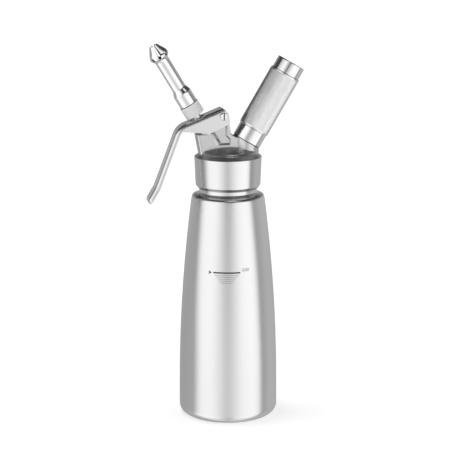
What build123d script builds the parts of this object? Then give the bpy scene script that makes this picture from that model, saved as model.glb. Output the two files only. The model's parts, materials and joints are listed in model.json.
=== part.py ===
from build123d import *
from math import cos, radians, sin
import os

# Whipped cream dispenser: a steel bottle, a screwed-on cast head with a pressed lever,
# a slanting valve that carries the decorating nozzle, and a screwed-on charger holder.
# Millimetres. Origin at the centre of the base, +Z up, nozzle towards -X, holder towards +X.
# The front of the object faces -Y.

# ---- Fits
running_gap = 0.05        # radial clearance of a part that slides or turns in its bore
seam_gap = 0.15           # clearance between two screwed parts that meet face to face
thread_gap = 0.6          # radial room that a screw thread takes up between its two parts
free_gap = 0.4            # clearance beside a seal that belongs to another part
cut_over = 1.0            # how far a cut runs past the surface it opens

# ---- Bottle
bottle_radius = 41.0
bottle_wall = 0.9
base_corner = 8.0         # round edge under the bottle
base_dish_depth = 1.6
base_dish_run = 3.0       # sloping edge of the dish
base_ring_width = 3.0     # flat ring that the bottle stands on
belly_height = 22.0       # the side is straight up to here, then curves in
side_top = 184.0          # end of the curved side
side_top_radius = 30.5
shoulder_rise = 3.4       # from the end of the side to the foot of the sloping shoulder
shoulder_lean = 0.5
shoulder_round = 3.0
shoulder_slope = 2.9      # rise of the shoulder up to the lip
lip_radius = 23.8         # short upright lip that the neck ring is welded into
lip_height = 4.0
lip_round = 0.7

# ---- Neck ring, which carries the bottle's outside thread
neck_radius = 22.8        # core of the thread
neck_bore = 19.6
neck_length = 23.2        # from the foot of the lip to the mouth
neck_root_depth = 2.0     # how far the ring reaches down inside the lip
mouth_chamfer = 0.5

# ---- Head: skirt and dome
skirt_gap = 3.2           # open groove between the foot of the lip and the skirt
skirt_foot_radius = 26.9
skirt_chamfer_width = 2.0
skirt_chamfer_height = 2.9
skirt_foot_round = 1.4
skirt_height = 26.2       # from the skirt's foot to the rim
rim_radius = 27.9
rim_round = 0.4
skirt_entry = 2.8         # plain counterbore over the bottle's lip
ledge_width = 3.9
ledge_rise = 2.7
dome_lean = 1.3
dome_foot_rise = 2.4
dome_height = 8.9         # above the rim
dome_round = 4.0
ledge_round = 1.6
dome_wall = 3.6
gasket_height = 3.0
gasket_width = 4.6

# ---- Valve, on an axis that leans towards -X
valve_lean = 31.0
valve_root = -10.3        # where the axis meets the bottle's axis, from the rim
spindle_radius = 3.8
spindle_bore = 2.0
spindle_neck_radius = 2.9
seat_distance = 15.5      # valve seat, along the axis
seat_boss_radius = 6.9
valve_disc_radius = 5.6
valve_disc_height = 1.8
valve_seal_height = 1.6
valve_seal_lip = 0.5      # the seal stands out from its disc by this
inlet_length = 4.2        # thinned spindle that lets the cream in
inlet_hole_radius = 1.3
seal_screw_radius = 3.2
seal_screw_height = 1.4
oring_section = 0.55
oring_distances = (22.6, 28.4)
spring_well_distance = 33.0
spring_well_radius = 5.35
guide_top = 39.6          # top of the guide on the casting
guide_radius = 6.9
flange_distance = 44.0    # underside of the spindle's flange
flange_height = 1.5
flange_radius = 6.4
washer_radius = 6.9
washer_edge = 1.3
washer_height = 2.9
washer_crown = 14.0
spindle_thread_top = 61.0
spring_wire = 1.0
spring_radius = 4.65
spring_pitch = 2.35

# ---- Nozzle adapter and nozzle, on the valve's axis
adapter_distance = 52.9
adapter_height = 10.2
adapter_radius = 8.25
adapter_round = 0.6
adapter_stub_radius = 5.4
adapter_stub_length = 9.0
adapter_channel = 2.8
nozzle_ring_height = 1.2
nozzle_ring_width = 0.9
nozzle_wall = 0.95
nozzle_skirt_radius = 7.7
nozzle_skirt_length = 11.0
nozzle_skirt_round = 0.4
nozzle_cone_round = 3.0   # both ends of the cone between skirt and tube
nozzle_cone_length = 4.2
nozzle_tube_radius = 5.95
nozzle_tube_length = 26.4
nozzle_bulb_radius = 7.7
nozzle_bulb_length = 4.4
nozzle_crown_length = 10.4
nozzle_tip_radius = 3.6
nozzle_tip_slope = 0.5    # inward run of the teeth at the tip, per rise
tooth_count = 8
slot_turn = -5.0          # of the first slot between the teeth, about the axis
slot_root_width = 2.3
slot_tip_width = 1.1

# ---- Casting: valve tower, web, pivot lug and charger boss (X, then height above the rim)
casting_half_width = 6.9
tower_foot_x = -23.9
tower_left_x = -27.6
tower_top = 19.5
tower_round = 2.8         # upright edges at the tower's left end
web_half_width = 3.4
pocket_draft = 18.0       # slope of the pockets' walls
casting_edge = 0.8        # rounded edges of the upright plate
pivot_x = -4.9
pivot_rise = 34.3
lug_radius = 4.3
lug_right_x = -0.8
lug_foot_x = 1.4
lug_foot_rise = 19.0
shelf_x = 8.5             # just inside the charger boss
shelf_rise = 15.2
pocket_left_foot = -10.0
pocket_left_top = -15.4
pocket_right = 0.2
pocket_right_top = -2.9
pocket_floor = 11.3
pocket_side_low = 14.6
pocket_side_top = 17.6
pocket_top = 28.2
pocket_round = 1.2
lug_foot_round = 3.0

# ---- Charger inlet and holder, on an axis that leans towards +X
holder_lean = 30.4
holder_root = -13.9       # where the axis meets the bottle's axis, from the rim
boss_radius = 12.0
boss_distance = 30.2      # boss face, along the axis
stub_radius = 9.6
stub_length = 12.6
recess_radius = 4.75
recess_distance = 33.4
inlet_bore = 3.05
inlet_floor = 23.6
gas_passage = 1.2
gas_groove = 0.8
carrier_height = 7.6
check_valve_height = 1.4
pin_radius = 0.9
pin_length = 8.2
pin_point = 1.6
pin_root_distance = 30.0
charger_seal_height = 2.4
charger_seal_bore = 1.7
charger_radius = 8.9
charger_length = 65.5
charger_neck_radius = 4.3
charger_neck_length = 8.6
charger_shoulder = 6.0
charger_base_round = 7.0
charger_hole_radius = 1.3
charger_hole_depth = 4.2
charger_room = 0.4
holder_foot_radius = 12.25
holder_foot_length = 11.5
holder_foot_round = 0.9
holder_wall = 1.9
holder_end_wall = 1.3
sleeve_wall = 1.75
sleeve_edge = 0.5
cap_radius = 12.05
cap_length = 10.1
cap_end_wall = 1.4
cap_room = 0.3            # between the tube's end and the cap
cap_round = 0.9

# ---- Lever, a pressed steel channel on a cross pin
lever_sheet = 1.4
lever_half_width = 8.8
plate_rise = 6.15         # outer face of the plate, from the pivot
plate_tilt = 21.5
plate_overhang = 1.4      # past the pivot
plate_length = 38.2       # from the pivot to the corner of the bend
bend_radius = 16.0
handle_tilt = 20.7        # from the vertical
handle_length = 52.8
kick_tilt = 31.0
kick_length = 14.3
kick_radius = 22.0
handle_depth = 4.1
handle_end_round = 5.0
flange_end_round = 2.2    # lower corner of the flange, seen from the side
edge_round = 3.2
on_the_line = 0.02        # how near a rim's edges lie to the line they follow
cheek_front = 5.6
cheek_drop = 6.2
cheek_low_x = -11.0
cheek_low = 13.9
cheek_back_x = -33.0
cheek_back = 12.2
cheek_round = 2.2
cheek_low_round = 9.0
cheek_lean = 1.5
spindle_slot_width = 8.6
spindle_slot_length = 13.0
lever_pin_radius = 2.0
lever_pin_head_radius = 3.1
lever_pin_head_height = 1.5
lever_pin_slot = 0.9
lever_pin_slot_depth = 0.6
lever_pin_end = 2.6
clip_height = 0.7
clip_radius = 3.4
clip_groove_depth = 0.5


def leaning_plane(lean, root_height):
    """Plane of an axis that leans in XZ: local Y runs up the axis, local X square to it."""
    turn = radians(lean)
    return Plane(origin=(0, 0, root_height), x_dir=(cos(turn), 0, sin(turn)), z_dir=(0, -1, 0))


def square_to(side, distance):
    """Plane square to a leaning axis, at a distance along it."""
    return Plane(origin=side.from_local_coords((0, distance, 0)), x_dir=side.x_dir, z_dir=side.y_dir)


def ring_section(inner, outer, low, high):
    """Half section of a ring, from its radii and its two ends along the axis."""
    with Locations(((inner + outer) / 2, (low + high) / 2)):
        Rectangle(outer - inner, high - low)


def outline(*points):
    """Face inside a closed run of straight lines."""
    Polygon(*points, align=None)


def round_corner(corner, radius):
    """Round the corner of the profile that lies nearest to a point."""
    fillet(vertices().sort_by_distance(corner)[0], radius)


def step(start, length, angle):
    """Point at a length and an angle (degrees, from +X) from another point."""
    return start[0] + length * cos(radians(angle)), start[1] + length * sin(radians(angle))


def finish(piece, name):
    """Label a finished piece and write it."""
    piece.part.label = name
    export_step(piece.part, f"parts/{name}.step")


# ---- Radii, heights and axes that follow from the sizes above
base_foot_radius = bottle_radius - base_corner - base_ring_width
base_dish_radius = base_foot_radius - base_dish_run
shoulder_foot = side_top + shoulder_rise
lip_foot = shoulder_foot + shoulder_slope
lip_top = lip_foot + lip_height
mouth_height = lip_foot + neck_length
skirt_foot = lip_foot + skirt_gap
rim_height = skirt_foot + skirt_height
skirt_bore = neck_radius + thread_gap
gasket_seat = mouth_height + gasket_height
gasket_outer = skirt_bore - free_gap
gasket_inner = gasket_outer - gasket_width

head_side = Plane(origin=(0, 0, rim_height), x_dir=(1, 0, 0), z_dir=(0, -1, 0))
valve_side = leaning_plane(valve_lean, rim_height + valve_root)
valve_axis = Axis(valve_side.origin, valve_side.y_dir)
holder_side = leaning_plane(-holder_lean, rim_height + holder_root)
holder_axis = Axis(holder_side.origin, holder_side.y_dir)
pivot_height = rim_height + pivot_rise
lever_side = Plane(origin=(pivot_x, 0, pivot_height), x_dir=(1, 0, 0), z_dir=(0, -1, 0))

os.makedirs("parts", exist_ok=True)

# ---- Bottle: a drawn shell, open at the lip
with BuildPart() as bottle_body:
    with BuildSketch(Plane.XZ):
        with BuildLine():
            Polyline(
                (0, lip_top),
                (0, base_dish_depth),
                (base_dish_radius, base_dish_depth),
                (base_foot_radius, 0),
                (bottle_radius, 0),
                (bottle_radius, belly_height),
            )
            TangentArc((bottle_radius, belly_height), (side_top_radius, side_top), tangent=(0, 1))
            Polyline(
                (side_top_radius, side_top),
                (side_top_radius - shoulder_lean, shoulder_foot),
                (lip_radius, lip_foot),
                (lip_radius, lip_top),
                (0, lip_top),
            )
        make_face()
        round_corner((bottle_radius, 0), base_corner)
        round_corner((side_top_radius - shoulder_lean, shoulder_foot), shoulder_round)
        round_corner((lip_radius, lip_foot), lip_round)
    revolve(axis=Axis.Z)
    offset(amount=-bottle_wall, openings=bottle_body.faces().sort_by(Axis.Z)[-1])
finish(bottle_body, "bottle_body")

# ---- Neck ring: welded into the lip
with BuildPart() as neck_ring:
    with BuildSketch(Plane.XZ):
        ring_section(neck_bore, lip_radius - bottle_wall, lip_foot - neck_root_depth, lip_top)
        ring_section(neck_bore, neck_radius, lip_foot - neck_root_depth, mouth_height)
    revolve(axis=Axis.Z)
    chamfer(neck_ring.edges().filter_by(GeomType.CIRCLE).group_by(Axis.Z)[-1], mouth_chamfer)
finish(neck_ring, "neck_ring")

# ---- Head gasket: flat ring between the mouth and the head
with BuildPart() as head_gasket:
    with BuildSketch(Plane.XZ):
        ring_section(gasket_inner, gasket_outer, mouth_height, gasket_seat)
    revolve(axis=Axis.Z)
finish(head_gasket, "head_gasket")

disc_top = seat_distance - valve_seal_height
disc_foot = disc_top - valve_disc_height
seal_radius = valve_disc_radius + valve_seal_lip

# ---- Head casting
dome_foot = (rim_radius - ledge_width, ledge_rise)
dome_knee = (dome_foot[0] - dome_lean, dome_foot[1] + dome_foot_rise)
boss_foot_plane = square_to(holder_side, boss_distance)
with BuildPart() as upright_plate:
    with BuildSketch(head_side):
        outline(
            (tower_foot_x, 0),
            (tower_left_x, tower_top),
            (pocket_left_top, tower_top),
            (pivot_x - lug_radius, pivot_rise - lug_radius),
            (pivot_x - lug_radius, pivot_rise),
            (lug_right_x, pivot_rise),
            (lug_foot_x, lug_foot_rise),
            (shelf_x, shelf_rise),
            (shelf_x, 0),
        )
        with Locations((pivot_x, pivot_rise)):
            Circle(lug_radius)
        round_corner((lug_foot_x, lug_foot_rise), lug_foot_round)
    extrude(amount=casting_half_width, both=True)
    for facing in (1, -1):
        tower_side = ((tower_foot_x + tower_left_x) / 2, tower_top / 2, facing * casting_half_width)
        tower_corner = head_side.from_local_coords(tower_side)
        fillet(upright_plate.edges().sort_by_distance(tower_corner)[0], tower_round)
    flat_sides = upright_plate.faces().filter_by(Axis.Y)
    fillet(flat_sides.edges(), casting_edge)

with BuildPart() as head_casting:
    # Skirt and dome, solid at first
    with BuildSketch(head_side):
        with BuildLine():
            Polyline(
                (0, dome_height),
                (0, -skirt_height),
                (skirt_foot_radius - skirt_chamfer_width, -skirt_height),
                (skirt_foot_radius, skirt_chamfer_height - skirt_height),
                (rim_radius, 0),
                dome_foot,
                dome_knee,
            )
            TangentArc((0, dome_height), dome_knee, tangent=(1, 0))
        make_face()
        round_corner((skirt_foot_radius, skirt_chamfer_height - skirt_height), skirt_foot_round)
        round_corner((rim_radius, 0), rim_round)
        round_corner(dome_foot, ledge_round)
        round_corner(dome_knee, dome_round)
    revolve(axis=Axis.Z)
    # Tower, web and pivot lug in one upright plate
    add(upright_plate.part)
    # Valve guide and charger boss
    with BuildSketch(square_to(valve_side, guide_top)):
        Circle(guide_radius)
    extrude(amount=seat_distance - guide_top)
    with BuildSketch(boss_foot_plane):
        Circle(boss_radius)
    extrude(amount=boss_distance * cos(radians(holder_lean)) + holder_root, dir=(0, 0, -1))
    # Shallow pockets that leave a web between tower and boss
    for facing in (1, -1):
        with BuildSketch(head_side.offset(facing * web_half_width)):
            outline(
                (pocket_left_foot, pocket_floor),
                (pocket_left_top, tower_top + lug_radius),
                (pivot_x - lug_radius, pocket_top),
                (pocket_right_top, pocket_top),
                (pocket_right_top, pocket_side_top),
                (pocket_right, pocket_side_low),
                (pocket_right, pocket_floor),
            )
            round_corner((pocket_left_foot, pocket_floor), pocket_round)
            round_corner((pocket_right, pocket_floor), pocket_round)
        extrude(amount=facing * casting_half_width, taper=-pocket_draft, mode=Mode.SUBTRACT)
    # Hollow inside: bore for the neck, gasket seat and the space under the dome
    with BuildSketch(Plane.XZ):
        ring_section(0, lip_radius + thread_gap, skirt_foot, skirt_foot + skirt_entry)
        ring_section(0, skirt_bore, skirt_foot, gasket_seat)
        with BuildLine():
            hollow_top = (0, rim_height + dome_height - dome_wall)
            hollow_side = (gasket_inner, rim_height + ledge_rise - dome_wall / 2)
            Polyline(hollow_top, (0, gasket_seat), (gasket_inner, gasket_seat), hollow_side)
            TangentArc(hollow_top, hollow_side, tangent=(1, 0))
        make_face()
    revolve(axis=Axis.Z, mode=Mode.SUBTRACT)
    # Valve: boss with the seat, bore and spring well
    with BuildSketch(square_to(valve_side, seat_distance)):
        Circle(seat_boss_radius)
    extrude(amount=spring_well_distance - seat_distance)
    with BuildSketch(valve_side):
        ring_section(0, spindle_radius + running_gap, 0, guide_top + seat_distance)
        ring_section(0, seal_radius + free_gap, disc_foot - seat_distance / 2, seat_distance)
        ring_section(0, spring_well_radius, spring_well_distance, guide_top + seat_distance)
    revolve(axis=valve_axis, mode=Mode.SUBTRACT)
    # Charger inlet: threaded stub, recess for the charger's neck, bore and gas passage
    with BuildSketch(holder_side):
        ring_section(0, stub_radius, inlet_floor, boss_distance + stub_length)
    revolve(axis=holder_axis)
    with BuildSketch(holder_side):
        ring_section(0, recess_radius, recess_distance, boss_distance + 2 * stub_length)
        ring_section(0, inlet_bore, inlet_floor, recess_distance)
        ring_section(0, gas_passage, boss_distance / 2, inlet_floor)
    revolve(axis=holder_axis, mode=Mode.SUBTRACT)
    # Cross hole for the lever's pin
    with BuildSketch(lever_side):
        Circle(lever_pin_radius)
    extrude(amount=casting_half_width, both=True, mode=Mode.SUBTRACT)
finish(head_casting, "head_casting")

# ---- Valve spindle: hollow, closed by its screw at the inner end
with BuildPart() as valve_spindle:
    with BuildSketch(valve_side):
        ring_section(0, spindle_neck_radius, disc_top, seat_distance + inlet_length)
        ring_section(0, valve_disc_radius, disc_foot, disc_top)
        ring_section(0, spindle_radius, seat_distance + inlet_length, spindle_thread_top)
        ring_section(0, flange_radius, flange_distance, flange_distance + flange_height)
        for distance in oring_distances:
            with Locations((spindle_radius, distance)):
                Rectangle(4 * oring_section, 2 * oring_section + running_gap, mode=Mode.SUBTRACT)
    revolve(axis=valve_axis)
    with BuildSketch(valve_side):
        ring_section(0, spindle_bore, seat_distance + running_gap, spindle_thread_top)
    revolve(axis=valve_axis, mode=Mode.SUBTRACT)
    with BuildSketch(valve_side):
        with Locations((0, seat_distance + inlet_length / 2)):
            Circle(inlet_hole_radius)
    extrude(amount=spindle_radius, both=True, mode=Mode.SUBTRACT)
finish(valve_spindle, "valve_spindle")

# ---- Valve seal: rubber ring on the disc that closes against the seat
with BuildPart() as valve_seal:
    with BuildSketch(valve_side):
        ring_section(spindle_neck_radius, seal_radius, disc_top, seat_distance - running_gap)
    revolve(axis=valve_axis)
finish(valve_seal, "valve_seal")

# ---- Seal screw: holds the disc at the inner end of the spindle
with BuildPart() as seal_screw:
    with BuildSketch(square_to(valve_side, disc_foot)):
        RegularPolygon(seal_screw_radius, 6)
    extrude(amount=-seal_screw_height)
finish(seal_screw, "seal_screw")

# ---- Two O-rings in the spindle's grooves
oring_names = ("spindle_oring_inner", "spindle_oring_outer")
oring_radius = spindle_radius - oring_section
for oring_name, distance in zip(oring_names, oring_distances):
    with BuildPart() as oring:
        with BuildSketch(valve_side):
            with Locations((oring_radius, distance)):
                Circle(oring_section)
        revolve(axis=valve_axis)
    finish(oring, oring_name)

# ---- Thrust washer: its crowned face takes the push of the lever's plate
washer_foot = flange_distance + flange_height
with BuildPart() as thrust_washer:
    with BuildSketch(valve_side):
        with BuildLine():
            Polyline(
                (spindle_radius, washer_foot + washer_height),
                (spindle_radius, washer_foot),
                (washer_radius, washer_foot),
                (washer_radius, washer_foot + washer_edge),
            )
            RadiusArc(
                (washer_radius, washer_foot + washer_edge),
                (spindle_radius, washer_foot + washer_height),
                -washer_crown,
            )
        make_face()
    revolve(axis=valve_axis)
finish(thrust_washer, "thrust_washer")

# ---- Valve spring: coil in the well, under the spindle's flange
spring_height = flange_distance - spring_well_distance - spring_wire
spring_foot = square_to(valve_side, spring_well_distance + spring_wire / 2)
with BuildPart() as valve_spring:
    with BuildLine():
        coil = Helix(spring_pitch, spring_height, spring_radius, spring_foot.origin, spring_foot.z_dir)
    with BuildSketch(Plane(origin=coil @ 0, z_dir=coil % 0)):
        RegularPolygon(spring_wire / 2, 8)
    sweep(is_frenet=True)
finish(valve_spring, "valve_spring")

# ---- Nozzle adapter: screwed on the top of the spindle
adapter_top = adapter_distance + adapter_height
stub_top = adapter_top + adapter_stub_length
with BuildPart() as nozzle_adapter:
    with BuildSketch(valve_side):
        ring_section(spindle_radius, adapter_radius, adapter_distance, adapter_top)
        round_corner((adapter_radius, adapter_distance), adapter_round)
        round_corner((adapter_radius, adapter_top), adapter_round / 2)
        ring_section(adapter_channel, adapter_stub_radius, spindle_thread_top, stub_top)
    revolve(axis=valve_axis)
finish(nozzle_adapter, "nozzle_adapter")

# ---- Nozzle ring: seal under the foot of the nozzle
ring_inner = adapter_stub_radius + free_gap
ring_outer = ring_inner + nozzle_ring_width
nozzle_foot = adapter_top + seam_gap
nozzle_ring_top = nozzle_foot + nozzle_ring_height
with BuildPart() as nozzle_ring:
    with BuildSketch(valve_side):
        ring_section(ring_inner, ring_outer, adapter_top + running_gap, nozzle_ring_top - running_gap)
    revolve(axis=valve_axis)
finish(nozzle_ring, "nozzle_ring")

# ---- Decorating nozzle: threaded skirt, tube and a crown of bent teeth
skirt_top = nozzle_foot + nozzle_skirt_length
tube_foot = skirt_top + nozzle_cone_length
tube_top = tube_foot + nozzle_tube_length
crown_foot = tube_top + nozzle_bulb_length
nozzle_tip = crown_foot + nozzle_crown_length
nozzle_thread_bore = adapter_stub_radius + thread_gap
nozzle_thread_top = stub_top + seam_gap
nozzle_tube_bore = nozzle_tube_radius - nozzle_wall


def crown_curve(inset):
    """Curve of the swelling and the bent teeth, at an inset from the outside."""
    Spline(
        (nozzle_tube_radius - inset, tube_top),
        (nozzle_bulb_radius - inset, crown_foot - nozzle_wall),
        (nozzle_tip_radius - inset, nozzle_tip),
        tangents=((0, 1), (-nozzle_tip_slope, 1)),
    )


with BuildPart() as decorating_nozzle:
    with BuildSketch(valve_side):
        with BuildLine():
            Polyline(
                (0, nozzle_foot),
                (nozzle_skirt_radius, nozzle_foot),
                (nozzle_skirt_radius, skirt_top),
                (nozzle_tube_radius, tube_foot),
                (nozzle_tube_radius, tube_top),
            )
            crown_curve(0)
            Polyline((nozzle_tip_radius, nozzle_tip), (0, nozzle_tip), (0, nozzle_foot))
        make_face()
        round_corner((nozzle_skirt_radius, nozzle_foot), nozzle_skirt_round)
        round_corner((nozzle_skirt_radius, skirt_top), nozzle_cone_round)
        round_corner((nozzle_tube_radius, tube_foot), nozzle_cone_round)
    revolve(axis=valve_axis)
    with BuildSketch(valve_side):
        ring_section(0, ring_outer + free_gap / 2, nozzle_foot, nozzle_ring_top)
        ring_section(0, nozzle_thread_bore, nozzle_foot, nozzle_thread_top)
        outline(
            (0, nozzle_thread_top),
            (nozzle_thread_bore, nozzle_thread_top),
            (nozzle_tube_bore, tube_foot),
            (nozzle_tube_bore, tube_top),
            (0, tube_top),
        )
        with BuildLine():
            crown_curve(nozzle_wall)
            Polyline(
                (nozzle_tip_radius - nozzle_wall, nozzle_tip),
                (0, nozzle_tip),
                (0, tube_top),
                (nozzle_tube_bore, tube_top),
            )
        make_face()
    revolve(axis=valve_axis, mode=Mode.SUBTRACT)
    for tooth in range(tooth_count):
        across = valve_side.x_dir.rotate(valve_axis, 360 * tooth / tooth_count + slot_turn)
        slot_side = Plane(
            origin=valve_side.from_local_coords((0, crown_foot, 0)),
            x_dir=across,
            z_dir=across.cross(valve_side.y_dir),
        )
        with BuildSketch(slot_side):
            outline(
                (-slot_root_width / 2, 0),
                (slot_root_width / 2, 0),
                (slot_tip_width / 2, nozzle_crown_length + cut_over),
                (-slot_tip_width / 2, nozzle_crown_length + cut_over),
            )
            Circle(slot_root_width / 2)
        extrude(amount=nozzle_bulb_radius + cut_over, mode=Mode.SUBTRACT)
finish(decorating_nozzle, "decorating_nozzle")

# ---- Charger inlet: check valve, pin carrier, piercing pin and charger seal
carrier_foot = inlet_floor + check_valve_height
carrier_top = carrier_foot + carrier_height
with BuildPart() as check_valve:
    with BuildSketch(square_to(holder_side, inlet_floor)):
        Circle(inlet_bore - running_gap)
    extrude(amount=check_valve_height)
finish(check_valve, "check_valve")

with BuildPart() as pin_carrier:
    with BuildSketch(holder_side):
        ring_section(0, inlet_bore - running_gap, carrier_foot, carrier_top)
    revolve(axis=holder_axis)
    with BuildSketch(holder_side):
        ring_section(0, pin_radius, pin_root_distance, carrier_top)
    revolve(axis=holder_axis, mode=Mode.SUBTRACT)
    # Groove down its side that lets the gas past
    with BuildSketch(square_to(holder_side, carrier_foot)):
        with Locations((inlet_bore, 0)):
            Circle(gas_groove)
    extrude(amount=carrier_height, mode=Mode.SUBTRACT)
finish(pin_carrier, "pin_carrier")

pin_top = pin_root_distance + pin_length
with BuildPart() as piercing_pin:
    with BuildSketch(holder_side):
        outline(
            (0, pin_root_distance),
            (pin_radius, pin_root_distance),
            (pin_radius, pin_top - pin_point),
            (0, pin_top),
        )
    revolve(axis=holder_axis)
finish(piercing_pin, "piercing_pin")

charger_seal_top = recess_distance + charger_seal_height
with BuildPart() as charger_seal:
    with BuildSketch(holder_side):
        ring_section(charger_seal_bore, recess_radius - running_gap, recess_distance, charger_seal_top)
    revolve(axis=holder_axis)
finish(charger_seal, "charger_seal")

# ---- Gas charger: small steel bottle with a pierced neck
charger_tip = charger_seal_top + running_gap
charger_base = charger_tip + charger_length
neck_end = charger_tip + charger_neck_length
with BuildPart() as gas_charger:
    with BuildSketch(holder_side):
        outline(
            (0, charger_tip),
            (charger_neck_radius, charger_tip),
            (charger_neck_radius, neck_end),
            (charger_radius, neck_end + charger_shoulder),
            (charger_radius, charger_base),
            (0, charger_base),
        )
        round_corner((charger_radius, neck_end + charger_shoulder), charger_shoulder / 2)
        round_corner((charger_radius, charger_base), charger_base_round)
    revolve(axis=holder_axis)
    with BuildSketch(holder_side):
        ring_section(0, charger_hole_radius, charger_tip, charger_tip + charger_hole_depth)
    revolve(axis=holder_axis, mode=Mode.SUBTRACT)
finish(gas_charger, "gas_charger")

# ---- Charger holder: threaded tube, knurled sleeve and end cap
holder_foot = boss_distance + seam_gap
foot_top = holder_foot + holder_foot_length
tube_bore = charger_radius + charger_room
tube_radius = tube_bore + holder_wall
tube_end = charger_base + charger_room + holder_end_wall
holder_top = tube_end + cap_room + cap_end_wall
thread_end = boss_distance + stub_length + charger_room
with BuildPart() as holder_tube:
    with BuildSketch(holder_side):
        ring_section(0, holder_foot_radius, holder_foot, foot_top)
        round_corner((holder_foot_radius, holder_foot), holder_foot_round)
        ring_section(0, tube_radius, holder_foot + holder_foot_round, tube_end)
    revolve(axis=holder_axis)
    with BuildSketch(holder_side):
        ring_section(0, stub_radius + thread_gap, 0, thread_end)
        ring_section(0, tube_bore, thread_end, tube_end - holder_end_wall)
    revolve(axis=holder_axis, mode=Mode.SUBTRACT)
finish(holder_tube, "holder_tube")

sleeve_foot = foot_top
sleeve_top = holder_top - cap_length
sleeve_bore = tube_radius + running_gap
with BuildPart() as knurled_sleeve:
    with BuildSketch(holder_side):
        ring_section(sleeve_bore, sleeve_bore + sleeve_wall, sleeve_foot, sleeve_top)
        chamfer(vertices().group_by(Axis.X)[-1], sleeve_edge)
    revolve(axis=holder_axis)
finish(knurled_sleeve, "knurled_sleeve")

with BuildPart() as holder_cap:
    with BuildSketch(holder_side):
        ring_section(0, cap_radius, sleeve_top, holder_top)
        round_corner((cap_radius, holder_top), cap_round)
        ring_section(0, sleeve_bore, sleeve_top, holder_top - cap_end_wall)
    revolve(axis=holder_axis)
    with BuildSketch(holder_side):
        ring_section(0, sleeve_bore, sleeve_top, holder_top - cap_end_wall)
    revolve(axis=holder_axis, mode=Mode.SUBTRACT)
finish(holder_cap, "holder_cap")

# ---- Lever: outer line of the pressing, from above the pivot to the end of the handle
plate_angle = 180 + plate_tilt
handle_angle = 270 - handle_tilt
kick_angle = 270 - kick_tilt
plate_start = step((0, 0), plate_rise, 90 + plate_tilt)
plate_end = step(plate_start, plate_overhang, plate_tilt)
bend_corner = step(plate_start, plate_length, plate_angle)
kick_corner = step(bend_corner, handle_length, handle_angle)
handle_end = step(kick_corner, kick_length, kick_angle)
lever_bends = (bend_radius, kick_radius)
plate_direction = Vector(cos(radians(plate_tilt)), 0, sin(radians(plate_tilt)))
plate_normal = plate_direction.rotate(Axis.Y, -90)
plate_gap = plate_rise - (valve_side.origin - lever_side.origin).dot(plate_normal)
slot_middle = valve_side.from_local_coords((0, plate_gap / valve_side.y_dir.dot(plate_normal), 0))
spindle_slot_plane = Plane(origin=slot_middle, x_dir=plate_direction, z_dir=plate_normal)
with BuildLine(lever_side) as lever_line:
    FilletPolyline(plate_end, bend_corner, kick_corner, handle_end, radius=lever_bends)


def off_the_line(shape):
    """How far the middle of an edge or face lies from the lever's outer line, seen from the front."""
    middle = shape.center()
    return lever_line.line.distance_to(Vector(middle.X, 0, middle.Z))


def bend_over(piece, depth, half_width, end_radius, side_radius):
    """Round the handle's end and the sides of the face that lies at a depth under the outer line."""
    face_end = step(step(handle_end, depth, kick_angle + 180), depth, kick_angle + 90)
    for facing in (1, -1):
        corner = (*step(face_end, handle_depth / 2, kick_angle + 90), facing * half_width)
        fillet(piece.edges().sort_by_distance(lever_side.from_local_coords(corner))[0], end_radius)
    end_point = lever_side.from_local_coords(face_end)

    def on_the_rim(edge):
        at_the_side = abs(edge.center().Y) > half_width - end_radius
        at_the_end = (edge.center() - end_point).length < handle_depth / 2
        return abs(off_the_line(edge) - depth) < on_the_line and (at_the_side or at_the_end)

    fillet(piece.edges().filter_by(on_the_rim), side_radius)


core_end = step(handle_end, lever_sheet, kick_angle + 180)
core_start = step(plate_end, bend_radius, plate_tilt)
with BuildPart() as lever_core:
    with BuildSketch(lever_side):
        with BuildLine():
            FilletPolyline(core_start, bend_corner, kick_corner, core_end, radius=lever_bends)
            offset(amount=2 * handle_depth, side=Side.LEFT)
        make_face()
        outline(
            core_start,
            step(plate_end, plate_length - bend_radius / 2, plate_angle),
            (cheek_back_x, -2 * cheek_back),
            (cheek_front + bend_radius, -2 * cheek_back),
        )
        with BuildLine():
            FilletPolyline(core_start, bend_corner, kick_corner, handle_end, radius=lever_bends)
            offset(amount=lever_sheet, side=Side.LEFT)
        make_face(mode=Mode.SUBTRACT)
    extrude(amount=lever_half_width - lever_sheet, both=True)
    bend_over(
        lever_core,
        lever_sheet,
        lever_half_width - lever_sheet,
        handle_end_round - lever_sheet,
        edge_round - lever_sheet,
    )

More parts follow.
